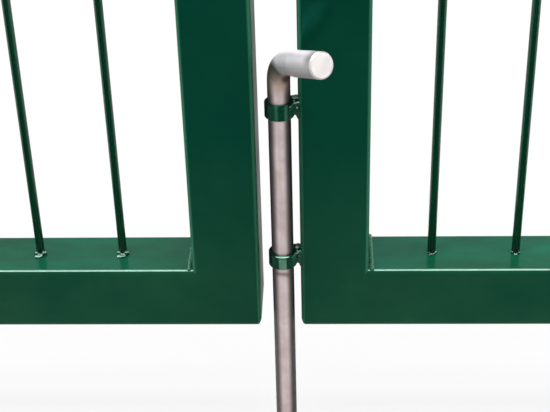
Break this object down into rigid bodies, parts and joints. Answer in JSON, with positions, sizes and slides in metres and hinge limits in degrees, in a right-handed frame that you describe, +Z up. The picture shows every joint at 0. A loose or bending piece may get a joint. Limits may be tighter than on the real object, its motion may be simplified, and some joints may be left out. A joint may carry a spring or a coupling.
{
  "type": "steel garden gate",
  "caption": "Double-leaf garden gate of welded square tube with wire mesh, hung between base-plated posts, with a lever lock and a drop bolt on the meeting stiles.",
  "frame": {"origin": "centre of the left post's foot, on the ground plane", "axes": "+X along the gate from the left post to the right post, -Y towards the garden side with the drop bolt's handle, +Z up"},
  "size_m": [3.244, 0.164, 1.571],
  "materials": {
    "green_coat": "satin",
    "bolt_steel": "satin",
    "galvanised_fittings": "satin",
    "lock_aluminium": "satin",
    "lock_steel": "brushed",
    "cylinder_brass": "satin",
    "cap_plastic": "matte"
  },
  "bodies": {
    "posts": {"left_post": "green_coat", "left_post_cap": "cap_plastic", "left_base_plate": "green_coat", "right_post": "green_coat", "right_post_cap": "cap_plastic", "right_base_plate": "green_coat", "left_lower_hinge_pin": "galvanised_fittings", "left_upper_hinge_pin": "galvanised_fittings", "right_lower_hinge_pin": "galvanised_fittings", "right_upper_hinge_pin": "galvanised_fittings"},
    "left_leaf": {"left_hinge_stile": "green_coat", "left_meeting_stile": "green_coat", "left_top_rail": "green_coat", "left_bottom_rail": "green_coat", "left_mesh": "green_coat", "left_lower_eyebolt": "galvanised_fittings", "left_upper_eyebolt": "galvanised_fittings", "left_lower_eyebolt_nuts": "galvanised_fittings", "left_upper_eyebolt_nuts": "galvanised_fittings", "lock_faceplate": "lock_steel", "lock_cylinder": "cylinder_brass", "garden_escutcheon": "lock_aluminium", "street_escutcheon": "lock_aluminium", "garden_lever": "lock_aluminium", "street_lever": "lock_aluminium"},
    "right_leaf": {"right_hinge_stile": "green_coat", "right_meeting_stile": "green_coat", "right_top_rail": "green_coat", "right_bottom_rail": "green_coat", "right_mesh": "green_coat", "right_lower_eyebolt": "galvanised_fittings", "right_upper_eyebolt": "galvanised_fittings", "right_lower_eyebolt_nuts": "galvanised_fittings", "right_upper_eyebolt_nuts": "galvanised_fittings", "lock_keep": "lock_steel", "lower_bolt_guide": "green_coat", "upper_bolt_guide": "green_coat"},
    "bolt": {"drop_bolt": "bolt_steel"}
  },
  "joints": [
    {"name": "left_leaf_hinge", "type": "hinge", "parent": "posts", "child": "left_leaf", "pos_m": [0.06, 0, 0], "axis": [0, 0, -1], "range_deg": [0, 95]},
    {"name": "right_leaf_hinge", "type": "hinge", "parent": "posts", "child": "right_leaf", "pos_m": [3.034, 0, 0], "axis": [0, 0, 1], "range_deg": [0, 95]},
    {"name": "drop_bolt_slide", "type": "slide", "parent": "right_leaf", "child": "bolt", "axis": [0, 0, 1], "range_m": [0, 0.07]}
  ]
}
